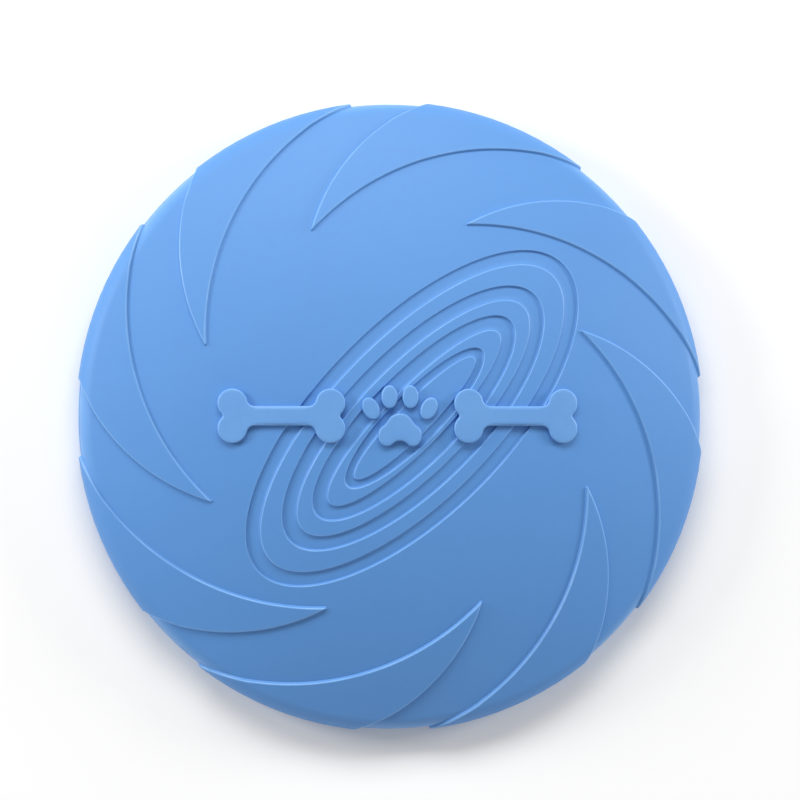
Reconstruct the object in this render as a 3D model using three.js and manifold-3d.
// A soft domed flying disc, in millimetres, +Z up.
// The disc is one rubber moulding: a thin dome with a thick rim, four nested oval grooves in its
// crown, eight raised vanes that sweep outwards over its shoulder, and a raised paw and two bones
// in the middle. The origin is on the floor, under the middle of the dome.

import * as THREE from "three";
import { mergeVertices } from "three/addons/utils/BufferGeometryUtils.js";
import Module from "manifold-3d";

// ---- Driving dimensions ----

// Body
const RIM_RADIUS = 89.1; // widest circle, between the vanes
const RIM_HEIGHT = 5.5; // floor to the widest circle
const CROWN_HEIGHT = 28.5; // floor to the top of the dome
const SHOULDER_RADIUS = 5; // round edge between the dome and the side
const PLATE_THICKNESS = 2.5; // wall of the dome
const RIM_THICKNESS = 5; // wall of the side
const INNER_FILLET = 3.5; // under the shoulder
const LIP_ROUNDING = 1.5; // both edges of the foot

// Vanes
const VANE_COUNT = 8;
const VANE_RELIEF = 0.9; // above the dome
const VANE_TIP_RADIUS = 57.6; // from the disc's axis
const VANE_TIP_ANGLE = 26.2; // of the first vane, degrees from +X
const VANE_SWEEP = 30.8; // of the short edge, degrees from the tip to the rim
const VANE_RIM_GAP = 21; // along the rim, from one vane to the next
const VANE_SHORT_BOW = 5.7; // how far the short edge bows from a straight line
const VANE_LONG_BOW = 12; // the same for the long edge
const VANE_FOOT = 2; // floor to the vane's end on the side

// Oval grooves: half sizes of the outer edge, and widths at the ends and along the sides
const GROOVE_DEPTH = 0.8;
const GROOVE_CENTRE = new THREE.Vector2(4.5, -0.6);
const GROOVE_TURN = 45.2; // long axis, degrees from +X
const GROOVES = [
  { halfLength: 61.8, halfBreadth: 27, endWidth: 4.2, sideWidth: 3.8 },
  { halfLength: 49.5, halfBreadth: 19.2, endWidth: 4.4, sideWidth: 3.8 },
  { halfLength: 39.1, halfBreadth: 12.6, endWidth: 4.6, sideWidth: 4.1 },
  { halfLength: 27.2, halfBreadth: 7, endWidth: 2.8, sideWidth: 2.2 },
];

// Emblem
const EMBLEM_RELIEF = 1.5; // above the dome
const EMBLEM_GAP = 5; // between the paw and each bone
const BONE_LENGTH = 36;
const BONE_KNOB_RADIUS = 4.2;
const BONE_CLEFT = 2; // depth of the notch between the two knobs of one end
const BONE_SHAFT = 5.6; // breadth between the knobs
const PAD_BREADTH = 12.6;
const PAD_HEIGHT = 9.4;
const TOE_BREADTH = 4.6;
const TOE_LENGTH = 6.6;
const TOE_GAP = 1.4; // between a toe and the pieces beside it
const OUTER_TOE_TILT = 26; // degrees, each way

// Fit and finish
const SEAT_GAP = 0.3; // between a raised piece and the dome
const RUBBER_COLOUR = "#5f9fe6";
const RUBBER_ROUGHNESS = 0.55;

// Smoothness
const ROUND_STEPS = 72; // round the disc
const DOME_STEPS = 6; // from the middle to the shoulder
const EDGE_STEPS = 3; // round each small radius
const GROOVE_STEPS = 40; // round each edge of a groove
const VANE_STEPS = 16; // along each edge of a vane
const EMBLEM_STEPS = 12; // along each drawn curve of the emblem

// ---- Values that follow from them ----

// The dome is a part of a sphere that runs into the shoulder's arc without a corner.
const SHOULDER_CENTRE = new THREE.Vector2(RIM_RADIUS - SHOULDER_RADIUS, RIM_HEIGHT);
const RIM_DROP = CROWN_HEIGHT - RIM_HEIGHT;
const DOME_RADIUS =
  (SHOULDER_CENTRE.x ** 2 + RIM_DROP ** 2 - SHOULDER_RADIUS ** 2) / (2 * (RIM_DROP - SHOULDER_RADIUS));
const DOME_CENTRE = new THREE.Vector2(0, CROWN_HEIGHT - DOME_RADIUS);

const INNER_WALL_RADIUS = RIM_RADIUS - RIM_THICKNESS;
const UNDER_DOME_RADIUS = DOME_RADIUS - PLATE_THICKNESS;
const PRISM_HEIGHT = CROWN_HEIGHT + 10; // tall enough for any outline to pass through the dome
const CUTTER_RISE = 1; // a groove's cutter stands this far above the dome
const BEYOND_RIM = 3; // a vane's outline runs this far past the vane before it is trimmed

const toRadians = THREE.MathUtils.degToRad;
const polar = (radius, angle) => new THREE.Vector2(Math.cos(angle), Math.sin(angle)).multiplyScalar(radius);

// ---- Solids ----

const wasm = await Module();
wasm.setup();

/** A three.js geometry as a manifold solid. */
function solid(geometry) {
  const shell = geometry.clone();
  shell.deleteAttribute("normal");
  shell.deleteAttribute("uv");
  const merged = mergeVertices(shell);
  const corners = merged.index.array;
  const triangles = [];
  for (let i = 0; i < corners.length; i += 3) {
    const [a, b, c] = corners.slice(i, i + 3);
    // A revolved profile leaves triangles with two equal corners on its axis.
    if (a !== b && b !== c && c !== a) triangles.push(a, b, c);
  }
  return new wasm.Manifold(new wasm.Mesh({
    numProp: 3,
    vertProperties: new Float32Array(merged.attributes.position.array),
    triVerts: new Uint32Array(triangles),
  }));
}

/** A manifold solid as a named mesh in the rubber's colour. */
function rubberPiece(name, body) {
  const { vertProperties, triVerts } = body.getMesh();
  const geometry = new THREE.BufferGeometry();
  geometry.setAttribute("position", new THREE.BufferAttribute(vertProperties, 3));
  geometry.setIndex(new THREE.BufferAttribute(triVerts, 1));
  geometry.computeVertexNormals();
  const rubber = new THREE.MeshStandardMaterial({
    color: RUBBER_COLOUR,
    roughness: RUBBER_ROUGHNESS,
    metalness: 0,
    flatShading: true,
  });
  const mesh = new THREE.Mesh(geometry, rubber);
  mesh.name = name;
  return mesh;
}

/** The solid that a closed profile of (radius, height) points sweeps round the disc's axis. */
function revolved(profile) {
  return solid(new THREE.LatheGeometry(profile, ROUND_STEPS).rotateX(Math.PI / 2));
}

/** The upright prism over a flat outline, from the floor to well above the dome. */
function prism(outline, arcSteps) {
  return solid(new THREE.ExtrudeGeometry(outline, {
    depth: PRISM_HEIGHT,
    bevelEnabled: false,
    curveSegments: arcSteps / 2, // three.js divides an arc into twice this number
  }));
}

/** Points of an arc in a profile, where the angle is measured from straight up towards the rim. */
function profileArc(centre, radius, from, to, steps) {
  const points = [];
  for (let i = 0; i <= steps; i++) {
    const angle = from + ((to - from) * i) / steps;
    points.push(new THREE.Vector2(
      centre.x + radius * Math.sin(angle),
      centre.y + radius * Math.cos(angle),
    ));
  }
  return points;
}

/** The outer surface moved outwards by an offset, from the axis to the widest circle. */
function surfaceProfile(offset) {
  const turn = Math.asin(SHOULDER_CENTRE.x / (DOME_RADIUS - SHOULDER_RADIUS));
  const dome = profileArc(DOME_CENTRE, DOME_RADIUS + offset, 0, turn, DOME_STEPS);
  const shoulder = profileArc(SHOULDER_CENTRE, SHOULDER_RADIUS + offset, turn, Math.PI / 2, EDGE_STEPS);
  return [...dome, ...shoulder.slice(1)];
}

/** The layer between two offsets of the outer surface, down to a height above the floor. */
function skin(lowOffset, highOffset, foot) {
  const low = surfaceProfile(lowOffset);
  const high = surfaceProfile(highOffset).reverse();
  return revolved([
    ...low,
    new THREE.Vector2(RIM_RADIUS + lowOffset, foot),
    new THREE.Vector2(RIM_RADIUS + highOffset, foot),
    ...high,
  ]);
}

// ---- Body ----

/** The wall's profile, from the axis under the dome, round the foot, and back over the top. */
function wallProfile() {
  const filletCentre = new THREE.Vector2(INNER_WALL_RADIUS - INNER_FILLET, 0);
  const reach = UNDER_DOME_RADIUS - INNER_FILLET;
  const turn = Math.asin(filletCentre.x / reach);
  filletCentre.y = DOME_CENTRE.y + reach * Math.cos(turn);
  const underDome = profileArc(DOME_CENTRE, UNDER_DOME_RADIUS, 0, turn, DOME_STEPS);
  const fillet = profileArc(filletCentre, INNER_FILLET, turn, Math.PI / 2, EDGE_STEPS);

  const innerLip = new THREE.Vector2(INNER_WALL_RADIUS + LIP_ROUNDING, LIP_ROUNDING);
  const outerLip = new THREE.Vector2(RIM_RADIUS - LIP_ROUNDING, LIP_ROUNDING);
  const innerEdge = profileArc(innerLip, LIP_ROUNDING, -Math.PI / 2, -Math.PI, EDGE_STEPS);
  const outerEdge = profileArc(outerLip, LIP_ROUNDING, Math.PI, Math.PI / 2, EDGE_STEPS);
  const outside = surfaceProfile(0).reverse();
  return [...underDome, ...fillet.slice(1), ...innerEdge, ...outerEdge, ...outside];
}

/** The outline of an oval groove, as an ellipse with a smaller one cut out of it. */
function grooveOutline({ halfLength, halfBreadth, endWidth, sideWidth }) {
  const turn = toRadians(GROOVE_TURN);
  const { x, y } = GROOVE_CENTRE;
  const outline = new THREE.Shape();
  outline.absellipse(x, y, halfLength, halfBreadth, 0, 2 * Math.PI, false, turn);
  const island = new THREE.Path();
  island.absellipse(x, y, halfLength - endWidth, halfBreadth - sideWidth, 0, 2 * Math.PI, true, turn);
  outline.holes.push(island);
  return outline;
}

function discBody() {
  const grooveLayer = skin(-GROOVE_DEPTH, CUTTER_RISE, RIM_HEIGHT);
  let body = revolved(wallProfile());
  for (const groove of GROOVES) {
    body = body.subtract(prism(grooveOutline(groove), GROOVE_STEPS).intersect(grooveLayer));
  }
  return rubberPiece("disc_body", body);
}

// ---- Vanes ----

/** Adds an arc from the outline's last point to an end point, bowed to the left or the right. */
function bowedArc(outline, end, bow, toTheLeft) {
  const start = outline.currentPoint.clone();
  const chord = end.clone().sub(start);
  const radius = (chord.lengthSq() / 4 + bow ** 2) / (2 * bow);
  const side = toTheLeft ? 1 : -1;
  const toCentre = new THREE.Vector2(chord.y, -chord.x).normalize().multiplyScalar(side * (radius - bow));
  const centre = start.clone().add(end).multiplyScalar(0.5).add(toCentre);
  const startAngle = start.sub(centre).angle();
  const endAngle = end.clone().sub(centre).angle();
  outline.absarc(centre.x, centre.y, radius, startAngle, endAngle, toTheLeft);
}

/** A vane's outline with its tip on +X: two arcs from the tip to the rim, joined beyond the rim. */
function vaneOutline() {
  const outerRadius = RIM_RADIUS + VANE_RELIEF + BEYOND_RIM;
  const shortSweep = toRadians(VANE_SWEEP);
  const longSweep = shortSweep + (2 * Math.PI) / VANE_COUNT - VANE_RIM_GAP / RIM_RADIUS;
  const tip = new THREE.Vector2(VANE_TIP_RADIUS, 0);
  const outline = new THREE.Shape();
  outline.moveTo(tip.x, tip.y);
  bowedArc(outline, polar(RIM_RADIUS, -shortSweep), VANE_SHORT_BOW, true);
  outline.absarc(0, 0, outerRadius, -shortSweep, -longSweep, true);
  const rimEnd = polar(RIM_RADIUS, -longSweep);
  outline.lineTo(rimEnd.x, rimEnd.y);
  bowedArc(outline, tip, VANE_LONG_BOW, false);
  return outline;
}

/** The raised vanes, each the first one turned about the disc's axis. */
function vanes() {
  const vane = prism(vaneOutline(), VANE_STEPS).intersect(skin(SEAT_GAP, VANE_RELIEF, VANE_FOOT));
  const group = new THREE.Group();
  for (let i = 0; i < VANE_COUNT; i++) {
    const piece = rubberPiece(`vane_${i + 1}`, vane);
    piece.rotation.z = toRadians(VANE_TIP_ANGLE) + (2 * Math.PI * i) / VANE_COUNT;
    group.add(piece);
  }
  return group;
}

// ---- Emblem ----

/** A bone lying along X: a straight shaft with two round knobs at each end. */
function boneOutline(x) {
  const cleft = Math.acos(1 - BONE_CLEFT / BONE_KNOB_RADIUS); // where the two knobs of one end meet
  const knobX = BONE_LENGTH / 2 - BONE_KNOB_RADIUS;
  const knobY = BONE_KNOB_RADIUS * Math.sin(cleft);
  const neck = Math.asin((knobY - BONE_SHAFT / 2) / BONE_KNOB_RADIUS); // where a knob meets the shaft
  const outline = new THREE.Shape();
  outline.absarc(x + knobX, knobY, BONE_KNOB_RADIUS, -cleft, Math.PI + neck, false);
  outline.absarc(x - knobX, knobY, BONE_KNOB_RADIUS, -neck, Math.PI + cleft, false);
  outline.absarc(x - knobX, -knobY, BONE_KNOB_RADIUS, Math.PI - cleft, 2 * Math.PI + neck, false);
  outline.absarc(x + knobX, -knobY, BONE_KNOB_RADIUS, Math.PI - neck, 2 * Math.PI + cleft, false);
  return outline;
}

/** The paw's main pad: round on top, with a shallow dip in its lower edge. */
function padOutline(y) {
  const side = PAD_BREADTH / 2;
  const top = y + PAD_HEIGHT / 2;
  const bottom = y - PAD_HEIGHT / 2;
  const dip = bottom + PAD_HEIGHT / 6;
  const outline = new THREE.Shape();
  outline.moveTo(0, dip);
  outline.bezierCurveTo(side / 3, dip, side / 3, bottom, side * 0.6, bottom);
  outline.bezierCurveTo(side, bottom, side * 1.15, y, side * 0.75, y + PAD_HEIGHT / 8);
  outline.bezierCurveTo(side * 0.55, y + PAD_HEIGHT / 5, side / 2, top, 0, top);
  outline.bezierCurveTo(-side / 2, top, -side * 0.55, y + PAD_HEIGHT / 5, -side * 0.75, y + PAD_HEIGHT / 8);
  outline.bezierCurveTo(-side * 1.15, y, -side, bottom, -side * 0.6, bottom);
  outline.bezierCurveTo(-side / 3, bottom, -side / 3, dip, 0, dip);
  return outline;
}

/** One oval toe, tilted outwards. */
function toeOutline(x, y, tilt) {
  const outline = new THREE.Shape();
  outline.absellipse(x, y, TOE_BREADTH / 2, TOE_LENGTH / 2, 0, 2 * Math.PI, false, tilt);
  return outline;
}

/** The paw in the middle of the crown, with a bone on each side of it. */
function emblem() {
  const layer = skin(SEAT_GAP, EMBLEM_RELIEF, RIM_HEIGHT);
  const raised = (name, outline) => rubberPiece(name, prism(outline, EMBLEM_STEPS).intersect(layer));

  const pawHeight = PAD_HEIGHT + TOE_GAP + TOE_LENGTH;
  const padY = (PAD_HEIGHT - pawHeight) / 2;
  const innerToeX = (TOE_BREADTH + TOE_GAP) / 2;
  const innerToeY = (pawHeight - TOE_LENGTH) / 2;
  const outerToeX = innerToeX + TOE_BREADTH + TOE_GAP / 2;
  const outerToeY = innerToeY - TOE_LENGTH / 2;
  const tilt = toRadians(OUTER_TOE_TILT);
  const boneX = outerToeX + TOE_BREADTH / 2 + EMBLEM_GAP + BONE_LENGTH / 2;

  const group = new THREE.Group();
  group.add(
    raised("paw_pad", padOutline(padY)),
    raised("paw_toe_1", toeOutline(-outerToeX, outerToeY, tilt)),
    raised("paw_toe_2", toeOutline(-innerToeX, innerToeY, 0)),
    raised("paw_toe_3", toeOutline(innerToeX, innerToeY, 0)),
    raised("paw_toe_4", toeOutline(outerToeX, outerToeY, -tilt)),
    raised("bone_left", boneOutline(-boneX)),
    raised("bone_right", boneOutline(boneX)),
  );
  return group;
}

// ---- Assembly ----

const group = new THREE.Group();
group.add(discBody(), vanes(), emblem());

export default group;
